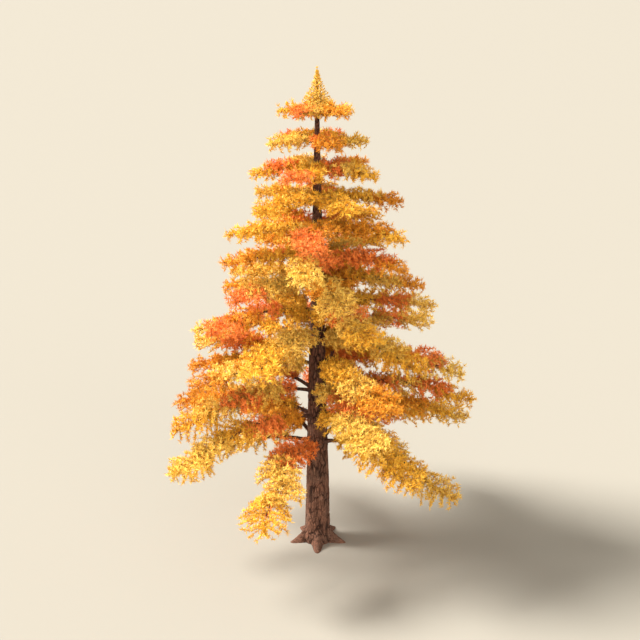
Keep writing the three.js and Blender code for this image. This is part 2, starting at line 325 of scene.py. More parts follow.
# %% [markdown]
# ## Floor, sky and lamps
#
# A tree is lit by a small hard sun and a wide soft sky. A studio copies that with one
# strong lamp and a bright room. Here the key lamp stands on the left and throws the
# shadow, and it is wide enough to blur the shadow's edge with distance. A weak and very
# wide fill lamp lifts the side that faces the eye. The cream sky fills the shadows, and
# looks brighter to the eye than it shines, so that it goes with the floor. Plain colour
# management keeps the yellows as clear as they are set.

# %% Floor, sky and lamps
FLOOR_SIDE = 1800
FLOOR_COLOUR = (0.338, 0.318, 0.276, 1)
FLOOR_ROUGHNESS = 0.9
FLOOR_SHEEN = 0.1
SKY_COLOUR = (1.0, 0.93, 0.83, 1)
SKY_STRENGTH = 0.62
SKY_SEEN = 0.90
LAMP_COLOUR = (1.0, 0.97, 0.92)
LAMP_DISTANCE = 30
KEY_STRENGTH = 8.2
KEY_WIDTH = math.radians(24)
KEY_FROM = Vector((-1.0, 0.12, 0.98))
FILL_STRENGTH = 2.0
FILL_WIDTH = math.radians(70)
FILL_FROM = Vector((0.25, -1.0, 0.30))

bpy.ops.mesh.primitive_plane_add(size=FLOOR_SIDE, location=(0, 0, 0))
floor = bpy.context.object
floor.name = "floor"
floor_paint = bpy.data.materials.new("floor_paint")
floor_paint.use_nodes = True
floor_shader = floor_paint.node_tree.nodes["Principled BSDF"]
floor_shader.inputs["Roughness"].default_value = FLOOR_ROUGHNESS
floor_shader.inputs["Specular IOR Level"].default_value = FLOOR_SHEEN
floor_shader.inputs["Base Color"].default_value = FLOOR_COLOUR
floor.data.materials.append(floor_paint)

world = bpy.data.worlds.new("sky")
bpy.context.scene.world = world
world.use_nodes = True
sky = world.node_tree.nodes["Background"]
sky.inputs["Color"].default_value = SKY_COLOUR
ray = world.node_tree.nodes.new("ShaderNodeLightPath")
sky_glow = world.node_tree.nodes.new("ShaderNodeMapRange")
sky_glow.inputs["To Min"].default_value = SKY_STRENGTH
sky_glow.inputs["To Max"].default_value = SKY_SEEN
world.node_tree.links.new(ray.outputs["Is Camera Ray"], sky_glow.inputs["Value"])
world.node_tree.links.new(sky_glow.outputs["Result"], sky.inputs["Strength"])


def add_lamp(name, source, strength, width):
    bpy.ops.object.light_add(type="SUN", location=source * LAMP_DISTANCE)
    lamp = bpy.context.object
    lamp.name = name
    lamp.data.energy = strength
    lamp.data.angle = width
    lamp.data.color = LAMP_COLOUR
    lamp.rotation_euler = source.to_track_quat("Z", "Y").to_euler()


add_lamp("key_lamp", KEY_FROM, KEY_STRENGTH, KEY_WIDTH)
add_lamp("fill_lamp", FILL_FROM, FILL_STRENGTH, FILL_WIDTH)
bpy.context.scene.view_settings.view_transform = "Standard"
print("key lamp stands", round(math.degrees(math.asin(KEY_FROM.normalized().z))), "degrees up")

# %% [markdown]
# ## Bark
#
# Old larch bark breaks into long upright plates with dark cracks between them, and
# young bark is smooth and redder. The cracks are cut into the mesh, which also keeps a
# number called relief at each point: 0 down in a crack and 1 on a plate. One node group
# turns it into colour, roughness and fine grain, and adds the small flakes that each
# plate sheds, so trunk, boughs and twigs share one bark.


# %% Helpers for node trees
def link_all(tree, *pairs):
    for source, target in pairs:
        tree.links.new(source, target)


def new_group(name, inputs, outputs):
    group = bpy.data.node_groups.new(name, "ShaderNodeTree")
    for title, kind, value in inputs:
        socket = group.interface.new_socket(name=title, in_out="INPUT", socket_type=kind)
        socket.default_value = value
    for title, kind in outputs:
        group.interface.new_socket(name=title, in_out="OUTPUT", socket_type=kind)
    return group, group.nodes.new("NodeGroupInput"), group.nodes.new("NodeGroupOutput")


def colour_mix(tree, blend="MIX"):
    """Mixes or, in full, multiplies two colours."""
    node = tree.nodes.new("ShaderNodeMix")
    node.data_type = "RGBA"
    node.blend_type = blend
    node.inputs["Factor"].default_value = 1
    return node


def arithmetic(tree, operation):
    node = tree.nodes.new("ShaderNodeMath")
    node.operation = operation
    return node


def respan(tree, start, end, low, high):
    """Carries values from start to end over to values from low to high."""
    node = tree.nodes.new("ShaderNodeMapRange")
    for socket, value in zip(("From Min", "From Max", "To Min", "To Max"), (start, end, low, high)):
        node.inputs[socket].default_value = value
    return node


def noise_node(tree, detail, scale=1.0, roughness=0.5):
    node = tree.nodes.new("ShaderNodeTexNoise")
    node.inputs["Detail"].default_value = detail
    node.inputs["Scale"].default_value = scale
    node.inputs["Roughness"].default_value = roughness
    return node


COLOUR = "NodeSocketColor"
NUMBER = "NodeSocketFloat"
print("node helpers ready")

# %% The bark's node group
GRAIN_STRETCH = (1, 1, 0.28)
PATCH_SCALE = 2.6
FLAKE_SHARE = 0.55
FLAKE_RAGGED = 0.045

bark_group, bark_in, bark_out = new_group(
    "bark_grain",
    [
        ("Plate", COLOUR, (0.20, 0.10, 0.07, 1)), ("Crack", COLOUR, (0.04, 0.02, 0.015, 1)),
        ("Weathered", COLOUR, (0.23, 0.17, 0.13, 1)), ("Relief", NUMBER, 1.0),
        ("Grain size", NUMBER, 60.0),
    ],
    [("Colour", COLOUR), ("Roughness", NUMBER), ("Height", NUMBER)],
)
place = bark_group.nodes.new("ShaderNodeTexCoord")
stretch = bark_group.nodes.new("ShaderNodeMapping")
stretch.inputs["Scale"].default_value = GRAIN_STRETCH
grain = noise_node(bark_group, detail=6, roughness=0.65)
grain_shade = respan(bark_group, 0.3, 0.7, 0.62, 1.25)
patches = noise_node(bark_group, detail=3, scale=PATCH_SCALE)
patch_share = respan(bark_group, 0.46, 0.72, 0, 0.7)
flake_scale = arithmetic(bark_group, "MULTIPLY")
flake_scale.inputs[1].default_value = FLAKE_SHARE
ragged = bark_group.nodes.new("ShaderNodeVectorMath")
ragged.operation = "MULTIPLY_ADD"
ragged.inputs[1].default_value = (FLAKE_RAGGED,) * 3
flakes = bark_group.nodes.new("ShaderNodeTexVoronoi")
flake_shade = respan(bark_group, 0.25, 0.75, 0.78, 1.18)
flake_edges = bark_group.nodes.new("ShaderNodeTexVoronoi")
flake_edges.feature = "DISTANCE_TO_EDGE"
edge_shade = respan(bark_group, 0, 0.09, 0.45, 1)
flake_tone = arithmetic(bark_group, "MULTIPLY")
weathering = colour_mix(bark_group)
depth = colour_mix(bark_group)
shaded = colour_mix(bark_group, "MULTIPLY")
flaked = colour_mix(bark_group, "MULTIPLY")
height = arithmetic(bark_group, "ADD")
rough = respan(bark_group, 0, 1, 0.95, 0.72)
print("bark group:", len(bark_group.nodes), "nodes")

# %% The bark group's links
link_all(
    bark_group,
    (place.outputs["Object"], stretch.inputs["Vector"]),
    (stretch.outputs["Vector"], grain.inputs["Vector"]),
    (bark_in.outputs["Grain size"], grain.inputs["Scale"]),
    (grain.outputs["Fac"], grain_shade.inputs["Value"]),
    (place.outputs["Object"], patches.inputs["Vector"]),
    (patches.outputs["Fac"], patch_share.inputs["Value"]),
    (patch_share.outputs["Result"], weathering.inputs["Factor"]),
    (bark_in.outputs["Plate"], weathering.inputs["A"]),
    (bark_in.outputs["Weathered"], weathering.inputs["B"]),
    (bark_in.outputs["Relief"], depth.inputs["Factor"]),
    (bark_in.outputs["Crack"], depth.inputs["A"]),
    (weathering.outputs["Result"], depth.inputs["B"]),
    (depth.outputs["Result"], shaded.inputs["A"]),
    (grain_shade.outputs["Result"], shaded.inputs["B"]),
)
link_all(
    bark_group,
    (grain.outputs["Color"], ragged.inputs[0]),
    (stretch.outputs["Vector"], ragged.inputs[2]),
    (bark_in.outputs["Grain size"], flake_scale.inputs[0]),
    (flake_scale.outputs["Value"], flakes.inputs["Scale"]),
    (ragged.outputs["Vector"], flakes.inputs["Vector"]),
    (flakes.outputs["Color"], flake_shade.inputs["Value"]),
    (flake_scale.outputs["Value"], flake_edges.inputs["Scale"]),
    (ragged.outputs["Vector"], flake_edges.inputs["Vector"]),
    (flake_edges.outputs["Distance"], edge_shade.inputs["Value"]),
    (flake_shade.outputs["Result"], flake_tone.inputs[0]),
    (edge_shade.outputs["Result"], flake_tone.inputs[1]),
    (shaded.outputs["Result"], flaked.inputs["A"]),
    (flake_tone.outputs["Value"], flaked.inputs["B"]),
    (flaked.outputs["Result"], bark_out.inputs["Colour"]),
    (bark_in.outputs["Relief"], rough.inputs["Value"]),
    (rough.outputs["Result"], bark_out.inputs["Roughness"]),
    (grain.outputs["Fac"], height.inputs[0]),
    (flake_tone.outputs["Value"], height.inputs[1]),
    (height.outputs["Value"], bark_out.inputs["Height"]),
)
print("bark group:", len(bark_group.links), "links")


# %% Bark materials
BARK_SHEEN = 0.25


def attribute_node(tree, name):
    node = tree.nodes.new("ShaderNodeAttribute")
    node.attribute_name = name
    return node


def bark_material(name, plate, crack, weathered, grain_size, bump_height):
    material = bpy.data.materials.new(name)
    material.use_nodes = True
    tree = material.node_tree
    shader = tree.nodes["Principled BSDF"]
    shader.inputs["Specular IOR Level"].default_value = BARK_SHEEN
    bark = tree.nodes.new("ShaderNodeGroup")
    bark.node_tree = bark_group
    for layer, colour in (("Plate", plate), ("Crack", crack), ("Weathered", weathered)):
        bark.inputs[layer].default_value = (*colour, 1)
    bark.inputs["Grain size"].default_value = grain_size
    bump = tree.nodes.new("ShaderNodeBump")
    bump.inputs["Distance"].default_value = bump_height
    relief = attribute_node(tree, "relief")
    link_all(
        tree,
        (relief.outputs["Fac"], bark.inputs["Relief"]),
        (bark.outputs["Colour"], shader.inputs["Base Color"]),
        (bark.outputs["Roughness"], shader.inputs["Roughness"]),
        (bark.outputs["Height"], bump.inputs["Height"]),
        (bump.outputs["Normal"], shader.inputs["Normal"]),
    )
    return material


old_bark = bark_material(
    "old_bark", plate=(0.285, 0.128, 0.078), crack=(0.046, 0.020, 0.012),
    weathered=(0.285, 0.165, 0.112), grain_size=55, bump_height=0.012,
)
bough_bark = bark_material(
    "bough_bark", plate=(0.165, 0.078, 0.052), crack=(0.045, 0.022, 0.016),
    weathered=(0.200, 0.130, 0.095), grain_size=90, bump_height=0.006,
)
twig_bark = bark_material(
    "twig_bark", plate=(0.440, 0.260, 0.110), crack=(0.160, 0.080, 0.040),
    weathered=(0.380, 0.250, 0.140), grain_size=140, bump_height=0.003,
)
print("bark materials:", old_bark.name, bough_bark.name, twig_bark.name)

# %% [markdown]
# ## Needles' finish
#
# A larch is a conifer that turns gold and drops its needles. Each spray turns in its
# own time, so the crown is a patchwork of lemon, gold, amber and orange. Each tint is a
# plain colour with a material of its own, dealt out spray by spray. A number called
# tone on each needle makes the tint deeper and duller where it is low, and paler where
# it is high: towards a needle's tip and on some sprays as a whole. On top of a spray
# it is raised as painted light, and low in a spray it is lowered as painted shade.

# %% The needles' node group
DRIFT = 0.16
DRIFT_SCALE = 3.0
# The low end is the colour of dull needles and also of painted shade; the high end is pale needles
# and also painted light.
DULL_AND_SHADE = (0.78, 0.66, 0.50, 1)
PALE_AND_LIT = (1.05, 1.07, 1.10, 1)

needle_group, needle_in, needle_out = new_group(
    "needle_tone",
    [("Tint", COLOUR, (0.9, 0.6, 0.1, 1)), ("Tone", NUMBER, 0.5)],
    [("Colour", COLOUR), ("Roughness", NUMBER)],
)
place = needle_group.nodes.new("ShaderNodeTexCoord")
drift = noise_node(needle_group, detail=2, scale=DRIFT_SCALE)
drift_span = respan(needle_group, 0.3, 0.7, -DRIFT, DRIFT)
total = arithmetic(needle_group, "ADD")
# By tone this mixes dull to pale: random tone, and painted light and shade within each spray.
tone_and_painted_light = colour_mix(needle_group)
tone_and_painted_light.inputs["A"].default_value = DULL_AND_SHADE
tone_and_painted_light.inputs["B"].default_value = PALE_AND_LIT
toned = colour_mix(needle_group, "MULTIPLY")
gloss = respan(needle_group, 0, 1, 0.68, 0.5)
link_all(
    needle_group,
    (place.outputs["Object"], drift.inputs["Vector"]),
    (drift.outputs["Fac"], drift_span.inputs["Value"]),
    (drift_span.outputs["Result"], total.inputs[0]),
    (needle_in.outputs["Tone"], total.inputs[1]),
    (total.outputs["Value"], tone_and_painted_light.inputs["Factor"]),
    (needle_in.outputs["Tint"], toned.inputs["A"]),
    (tone_and_painted_light.outputs["Result"], toned.inputs["B"]),
    (toned.outputs["Result"], needle_out.inputs["Colour"]),
    (total.outputs["Value"], gloss.inputs["Value"]),
    (gloss.outputs["Result"], needle_out.inputs["Roughness"]),
)
print("needle group:", len(needle_group.nodes), "nodes")

# %% Needle materials
TINT_COLOURS = {
    "lemon": (0.96, 0.66, 0.125),
    "gold": (0.95, 0.565, 0.055),
    "amber": (0.90, 0.42, 0.034),
    "orange": (0.95, 0.30, 0.060),
}
NEEDLE_SHEEN = 0.3


def needle_material(tint):
    material = bpy.data.materials.new("needles_" + tint)
    material.use_nodes = True
    tree = material.node_tree
    shader = tree.nodes["Principled BSDF"]
    shader.inputs["Specular IOR Level"].default_value = NEEDLE_SHEEN
    needle = tree.nodes.new("ShaderNodeGroup")
    needle.node_tree = needle_group
    needle.inputs["Tint"].default_value = (*TINT_COLOURS[tint], 1)
    tone = attribute_node(tree, "tone")
    link_all(
        tree,
        (tone.outputs["Fac"], needle.inputs["Tone"]),
        (needle.outputs["Colour"], shader.inputs["Base Color"]),
        (needle.outputs["Roughness"], shader.inputs["Roughness"]),
    )
    return material


needle_paint = {tint: needle_material(tint) for tint in TINTS}
print("needle materials:", sorted(needle_paint))

# %% [markdown]
# ## Trunk
#
# A larch keeps one straight trunk from its roots to its tip. A cylinder would do for
# the straight part only. Here a filled circle is extruded ring by ring, close rings at
# the foot and wider ones above, and each face is then halved three times. That gives
# enough points for the shape itself to be carved: five buttress roots at the foot,
# shallow flutes above them, and the cracks of the bark. Blender starts its noise vectors
# from the clock, so they are given a seed here, and the cracks are the same each time.

# %% The trunk's rings
TRUNK_SIDES = 20
TRUNK_RINGS = 68
TRUNK_HALVINGS = 3
RING_SPREAD = 1.5

bpy.ops.object.select_all(action="DESELECT")
bpy.ops.mesh.primitive_circle_add(vertices=TRUNK_SIDES, radius=1, fill_type="NGON")
trunk = bpy.context.object
trunk.name = "bark_trunk"
ring_heights = [TRUNK_TOP * (k / TRUNK_RINGS) ** RING_SPREAD for k in range(TRUNK_RINGS + 1)]
bpy.ops.object.mode_set(mode="EDIT")
bpy.ops.mesh.select_all(action="SELECT")
for low, high in zip(ring_heights, ring_heights[1:]):
    bpy.ops.mesh.extrude_region_move(TRANSFORM_OT_translate={"value": (0, 0, high - low)})
bpy.ops.mesh.select_all(action="SELECT")
bpy.ops.mesh.normals_make_consistent(inside=False)
bpy.ops.object.mode_set(mode="OBJECT")
halving = trunk.modifiers.new("halving", "SUBSURF")
halving.subdivision_type = "SIMPLE"
halving.levels = TRUNK_HALVINGS
halving.render_levels = TRUNK_HALVINGS
bpy.ops.object.modifier_apply(modifier=halving.name)
print("trunk faces:", len(trunk.data.polygons))

# %% The trunk's shape
root_draw = draws_from(ROOT_SEED)
root_shares = [drawn_share(ROOT_SHARE, root_draw) for _ in range(ROOTS)]


def trunk_taper(height):
    return mix(TRUNK_FOOT_RADIUS, TRUNK_TIP_RADIUS, height / TRUNK_TOP)


def trunk_radius(height, angle):
    around = (angle - ROOT_FRONT) / (2 * math.pi) * ROOTS
    root = math.floor(around + 0.5) % ROOTS
    ridge = ((1 + math.cos(around * 2 * math.pi)) / 2) ** ROOT_NARROWING
    climb = max(0, 1 - height / ROOT_HEIGHT) ** ROOT_STEEPNESS
    toe = (ROOT_REACH - TRUNK_FOOT_RADIUS) * root_shares[root]
    flute = 1 + FLUTE_DEPTH * math.sin(FLUTES * angle + height / FLUTE_TWIST)
    return trunk_taper(height) * flute + climb * mix(ROOT_HOLLOW, toe, ridge)


print("radius at breast height:", round(trunk_radius(1.3, 0), 3), "m")

# %% The bark's relief
PLATE_WIDTH = 0.085
PLATE_LENGTH = 0.34
PLATE_THICKNESS = 0.022
PLATE_LEVELS = (0.62, 1.0)
LEVEL_SCALE = 7
MEAN_LEVEL = 0.7
SMALLEST_PLATES = 0.45
WANDER = 0.055
WANDER_SCALES = (4.2, 15)
FINE_WANDER = 0.35
WANDER_STRETCH = 0.35
CRACK_SHARE = 0.27
HEALING = 1.1
HEALING_SCALE = 6
HEALING_SHIFT = Vector((9, 4, 2))
GRAIN_DEPTH = 0.004
GRAIN_SCALE = 40
GRAIN_SQUEEZE = 0.4
SLIM_RADIUS = 0.2
ROOT_BARK = (0.05, 0.22)
ROOT_RELIEF = 0.5
NOISE_SEED = 7
noise.seed_set(NOISE_SEED)


def smoothstep(value, low, high):
    share = min(1, max(0, (value - low) / (high - low)))
    return share * share * (3 - 2 * share)


def squeezed(point, share):
    """The point with less height, so that noise read there is drawn out upright."""
    return Vector((point.x, point.y, point.z * share))


def plate_height(point, radius):
    """0 in a crack, up to 1 on a plate. Plates shrink with the stem they grow on."""
    size = mix(SMALLEST_PLATES, 1, min(1, radius / TRUNK_FOOT_RADIUS))
    slow = squeezed(point, WANDER_STRETCH)
    coarse, fine = (noise.noise_vector(slow * scale) for scale in WANDER_SCALES)
    moved = point + (coarse + FINE_WANDER * fine) * WANDER * size
    spot = Vector((moved.x / PLATE_WIDTH, moved.y / PLATE_WIDTH, moved.z / PLATE_LENGTH)) / size
    distances, middles = noise.voronoi(spot)
    grown_shut = HEALING * max(0, noise.noise(slow * HEALING_SCALE + HEALING_SHIFT))
    edge = (distances[1] - distances[0]) / CRACK_SHARE + grown_shut
    level = mix(*PLATE_LEVELS, abs(noise.cell(middles[0] * LEVEL_SCALE)) % 1)
    return smoothstep(edge, 0, 1) * level


def trunk_point(point):
    """Where a point of the plain ringed cylinder goes, and its relief."""
    angle = math.atan2(point.y, point.x)
    side = 2 * math.pi / TRUNK_SIDES
    edge = math.cos(side / 2) / math.cos(angle % side - side / 2)
    share = math.hypot(point.x, point.y) / edge
    radius = trunk_radius(point.z, angle)
    stem = trunk_taper(point.z)
    spot = Vector((math.cos(angle) * radius, math.sin(angle) * radius, point.z))
    plate = plate_height(spot, stem)
    plate = mix(plate, mix(ROOT_RELIEF, 1, plate), smoothstep(radius - stem, *ROOT_BARK))
    grain_bump = GRAIN_DEPTH * noise.noise(squeezed(spot, GRAIN_SQUEEZE) * GRAIN_SCALE)
    carving = PLATE_THICKNESS * (plate - MEAN_LEVEL) + grain_bump
    radius += min(1, stem / SLIM_RADIUS) * carving
    return (math.cos(angle) * radius * share, math.sin(angle) * radius * share, point.z), plate


carved = [trunk_point(vertex.co) for vertex in trunk.data.vertices]
trunk.data.vertices.foreach_set("co", np.array([spot for spot, _ in carved], np.float32).ravel())
store(trunk, "relief", [plate for _, plate in carved])
trunk.data.polygons.foreach_set("use_smooth", np.ones(len(trunk.data.polygons), bool))
trunk.data.materials.clear()
trunk.data.materials.append(old_bark)
trunk.data.update()
print("trunk stands on", round(min(spot[2] for spot, _ in carved), 4), "m")


# %% What every piece stands for
def keep(piece, nodes):
    """Fixes the piece to the tree and hides the solids that it replaces."""
    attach(piece, "root")
    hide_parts(*nodes)
    print(piece.name, "for", len(nodes), "solids,", len(piece.data.polygons), "faces")


keep(trunk, ["trunk"])

# %% [markdown]
# ## Boughs
#
# The fifteen lowest boughs show bare wood between the trunk and their foliage. Each is
# extruded as it would be by hand: a small filled circle is set inside the trunk, pushed
# out step by step along the bough's own curve, and shrunk at each step. A subdivision
# rounds it, and noise along its normals gives it knots and ridges.


# %% Where a bough runs
SOCKET_DEPTH = 0.5


def whorl_height(bough):
    return LOWEST_WHORL + YEAR_GROWTH * bough["whorl"]


def inside_trunk(bough):
    return SOCKET_DEPTH * trunk_taper(whorl_height(bough))


def inner_edge(bough):
    """Where a low bough ends and its foliage begins, from the trunk's axis."""
    spray = bough["sprays"][0]
    return spray["along"] - spray["length"] / 2 * (1 - TOOTH_DEPTH / 2)


def limb_radius(bough, along):
    return mix(by_height(LIMB_RADIUS, bough["whorl"]), LIMB_TIP_RADIUS, along / bough["reach"])


print("first bough is bare for", round(inner_edge(crown[0][0]) - TRUNK_FOOT_RADIUS, 2), "m")

# %% Bough by extrusion
BOUGH_SIDES = 10
BOUGH_STEPS = 9
STEP_GROWTH = 1.3
BOUGH_ROUNDING = 2
BOUGH_FULLNESS = 1.04
KNOT_DEPTH = 0.10
KNOT_SCALES = (9, 31)
FINE_KNOTS = 0.5
KNOT_RELIEF = (0.75, 0.6)
COLLAR_LENGTH = 0.22
COLLAR_SWELL = 0.35


def bough_girth(bough, along):
    """The limb's radius, with a swollen collar where it leaves the trunk."""
    out = along - trunk_taper(whorl_height(bough))
    collar = COLLAR_SWELL * max(0, 1 - max(0, out) / COLLAR_LENGTH) ** 2
    return limb_radius(bough, along) * (BOUGH_FULLNESS + collar)


def extrude_bough(bough):
    start, end = inside_trunk(bough), inner_edge(bough)
    stops = [mix(start, end, (k / BOUGH_STEPS) ** STEP_GROWTH) for k in range(BOUGH_STEPS + 1)]
    spots = [Vector(point_on(bough, along)) for along in stops]
    bpy.ops.object.select_all(action="DESELECT")
    bpy.ops.mesh.primitive_circle_add(
        vertices=BOUGH_SIDES, radius=bough_girth(bough, start), fill_type="NGON",
        location=spots[0], rotation=(math.pi / 2, 0, bough["direction"] + math.pi / 2),
    )
    piece = bpy.context.object
    bpy.ops.object.transform_apply(location=True, rotation=True, scale=True)
    bpy.ops.object.mode_set(mode="EDIT")
    bpy.ops.mesh.select_all(action="SELECT")
    for k in range(BOUGH_STEPS):
        shrink = bough_girth(bough, stops[k + 1]) / bough_girth(bough, stops[k])
        bpy.ops.mesh.extrude_region_move(
            TRANSFORM_OT_translate={"value": spots[k + 1] - spots[k]}
        )
        bpy.ops.transform.resize(value=(shrink,) * 3, center_override=spots[k + 1])
    bpy.ops.mesh.select_all(action="SELECT")
    bpy.ops.mesh.normals_make_consistent(inside=False)
    bpy.ops.object.mode_set(mode="OBJECT")
    rounding = piece.modifiers.new("rounding", "SUBSURF")
    rounding.levels = BOUGH_ROUNDING
    rounding.render_levels = BOUGH_ROUNDING
    bpy.ops.object.modifier_apply(modifier=rounding.name)
    return piece


def knot(piece, radius):
    """Pushes points along their normals by noise, and keeps the noise as relief."""
    coarse, fine = KNOT_SCALES
    middle, swing = KNOT_RELIEF
    points = piece.data.vertices
    rises = [noise.noise(v.co * coarse) + FINE_KNOTS * noise.noise(v.co * fine) for v in points]
    moved = [v.co + v.normal * rise * KNOT_DEPTH * radius for v, rise in zip(points, rises)]
    points.foreach_set("co", np.array(moved, np.float32).ravel())
    store(piece, "relief", [min(1, max(0, middle + swing * rise)) for rise in rises])
    piece.data.polygons.foreach_set("use_smooth", np.ones(len(piece.data.polygons), bool))
    piece.data.update()


for boughs in crown[:OWN_BOUGH_WHORLS]:
    for bough in boughs:
        label = f"{bough['whorl'] + 1}_{bough['number'] + 1}"
        piece = extrude_bough(bough)
        piece.name = "bark_bough_" + label
        knot(piece, by_height(LIMB_RADIUS, bough["whorl"]))
        piece.data.materials.clear()
        piece.data.materials.append(bough_bark)
        keep(piece, ["bough_" + label])

# %% [markdown]
# ## Limbs inside the foliage
#
# Past that bare wood, and all the way in the whorls above, limbs show only in glimpses
# between sprays. A tube swept in arrays along each bough's curve is enough for them.
# They are joined by bands of the crown, because a tree has too many to name one by one.
# In the upper whorls two or three neighbours part from one stem, as their solids do.

# %% Bands of the crown
BANDS = [range(0, 3), range(3, 6), range(6, 9), range(9, len(WHORLS))]
BAND_NAMES = ["low", "middle", "upper", "top"]


def needle_nodes(band):
    """The masses of foliage that this band of whorls stands for."""
    names = [
        f"needles_{whorl + 1}_{number + 1}" for whorl in BANDS[band]
        for number in range(len(forks_of(whorl)))
    ]
    return names + (["leader"] if band == len(BANDS) - 1 else [])


def band_of(whorl):
    return next(k for k, band in enumerate(BANDS) if whorl in band)


print([len(needle_nodes(band)) for band in range(len(BANDS))], "masses in each band")

# %% Limbs as tubes
LIMB_SIDES = 8
LIMB_RINGS = 16
LIMB_SOCKET = 0.06
LIMB_WANDER = 0.012
LIMB_WANDER_SCALE = 2.2
LIMB_RELIEF = 0.75


def fork_start(bough):
    """Where the limbs of a fork part, a little back inside their common stem."""
    return trunk_taper(whorl_height(bough)) + FORK_OUT - FORK_OVERLAP


def on_limb(bough, along):
    """A point of the limb, which swings from its fork's direction into its own."""
    swung = smoothstep(along, bough["parts_at"], bough["sprays"][0]["along"])
    return point_on(bough, along, direction=mix(bough["fork"], bough["direction"], swung))


for boughs in crown:
    for members in forks_of(boughs[0]["whorl"]):
        fork = (boughs[members[0]]["direction"] + boughs[members[-1]]["direction"]) / 2
        for member in members:
            bough = boughs[member]
            own = bough["whorl"] < OWN_BOUGH_WHORLS
            bough["fork"] = bough["direction"] if own else fork
            bough["parts_at"] = inner_edge(bough) - LIMB_SOCKET if own else fork_start(bough)
            leads = not own and member == members[0]
            bough["limb_start"] = inside_trunk(bough) if leads else bough["parts_at"]


def limb_path(bough):
    """The first limb of a fork is also its stem, and the others start inside that one."""
    stops = np.linspace(bough["limb_start"], bough["sprays"][-1]["along"], LIMB_RINGS)
    spots = [on_limb(bough, along) for along in stops]
    wander = [
        noise.noise_vector(Vector(spot) * LIMB_WANDER_SCALE) * LIMB_WANDER for spot in spots
    ]
    wander[0] = Vector((0, 0, 0))
    return np.array(spots) + np.array(wander), [limb_radius(bough, along) for along in stops]


for band, whorls in enumerate(BANDS):
    limbs = [limb_path(bough) for whorl in whorls for bough in crown[whorl]]
    paths = np.array([path for path, _ in limbs])
    radii = np.array([radius for _, radius in limbs])
    name = "limbs_" + BAND_NAMES[band]
    piece = add_tubes(name, paths, radii, LIMB_SIDES, bough_bark, LIMB_RELIEF)
    keep(piece, needle_nodes(band))

# %% [markdown]
# ## Sprays
#
# A spray is a flat fan of twigs. Its rib leaves the limb, and side shoots lean forward
# from the rib in four layers: most of them level, some arching up, a few over the
# middle, and some hanging. They end on the toothed rim of the spray's solid, so the
# crown keeps its outline and its gaps.


# %% The frame of a spray
def spray_axes(bough, spray):
    slope = bough["rise"] - 2 * bough["sag"] * spray["along"] / bough["reach"] ** 2
    pitch = math.atan(slope * SPRAY_PITCH)
    heading = bough["direction"] + spray["yaw"]
    ahead = np.array([
        math.cos(heading) * math.cos(pitch), math.sin(heading) * math.cos(pitch), math.sin(pitch),
    ])
    across = np.array([-math.sin(heading), math.cos(heading), 0.0])
    return np.array([ahead, across, np.cross(ahead, across)])


def rim(angle):
    """How far the spray's edge stands from its middle, as a share of its half size."""
    return 1 - TOOTH_DEPTH * (1 - np.cos(SPRAY_TEETH * angle)) / 2


print("rim at a tooth and between:", rim(0.0), round(float(rim(math.pi / SPRAY_TEETH)), 2))

# %% The rib and side shoots of a spray
STALK_REACH = 0.42
RIB_FRONT = 0.43
RIB_RINGS = 7
RIB_RADIUS = (0.013, 0.004)
SHOOT_RINGS = 3
SHOOT_RADIUS = (0.0075, 0.003)
SHOOT_LAYERS = [  # share of shoots, how far out they end, how high, how much they arch
    (0.37, 1.0, -0.06, 0.25), (0.28, 0.92, 0.56, 0.52),
    (0.10, 0.52, 1.00, 0.52), (0.25, 0.91, -0.80, -0.18),
]
SHOOTS = 47
LEAST_SHOOTS = 3
SHOOT_THINNING = 0.8
SHOOT_REACH = (0.9, 1.0)
SHOOT_LEAN = 0.62
SHOOT_ROOTS = (-0.40, 0.36)
TURN_STRAY = 0.35
HEIGHT_STRAY = 0.22
BEND_AHEAD = 0.04
BEND_STRAY = 0.012
TWIG_SEED = 29
DRAWS = np.random.default_rng(TWIG_SEED)


def spray_rib(bough, spray, axes):
    middle = np.array(point_on(bough, spray["along"], spray["side"], spray["lift"]))
    root_along = max(bough["limb_start"], spray["along"] - STALK_REACH * spray["length"])
    root = np.array(on_limb(bough, root_along))
    tip = middle + axes[0] * RIB_FRONT * spray["length"]
    return root, middle, tip


def on_rib(ends, share):
    """Points on the rib's smooth bend, for shares from 0 at the limb to 1 at its tip."""
    root, middle, tip = ends
    bend = 2 * middle - (root + tip) / 2
    return arc(root, bend, tip, np.asarray(share)[:, None])


def spray_shoots(spray, axes, ends):
    """Side shoots as curves of SHOOT_RINGS points, from the rib to the spray's rim."""
    length = spray["length"]
    half = np.array([length / 2, length * SPRAY_WIDTH / 2, length * SPRAY_THICKNESS / 2])
    size = (length / SPRAY_LENGTH[0]) ** SHOOT_THINNING
    curves = []
    for share, out, height, arch in SHOOT_LAYERS:
        count = max(LEAST_SHOOTS, round(SHOOTS * share * size))
        turn = (np.arange(count) + DRAWS.uniform(-TURN_STRAY, TURN_STRAY, count)) / count
        angle = 2 * math.pi * (turn + DRAWS.uniform(0, 1))
        edge = (rim(angle) * out * DRAWS.uniform(*SHOOT_REACH, count))[:, None]
        flat = np.stack([np.cos(angle), np.sin(angle)], 1) * half[:2] * edge
        rise = half[2] * (height + DRAWS.uniform(-HEIGHT_STRAY, HEIGHT_STRAY, count))
        back = flat[:, 0] - SHOOT_LEAN * np.abs(flat[:, 1])
        back = np.clip(back / length, *SHOOT_ROOTS)
        roots = on_rib(ends, (back + STALK_REACH) / (STALK_REACH + RIB_FRONT))
        tips = ends[1] + np.column_stack([flat, rise]) @ axes
        bends = (roots + tips) / 2 + np.array([BEND_AHEAD * length, 0, half[2] * arch]) @ axes
        bends += DRAWS.normal(0, BEND_STRAY, (count, 3))
        along = np.linspace(0, 1, SHOOT_RINGS)[None, :, None]
        curves.append(arc(roots[:, None], bends[:, None], tips[:, None], along))
    return np.concatenate(curves)


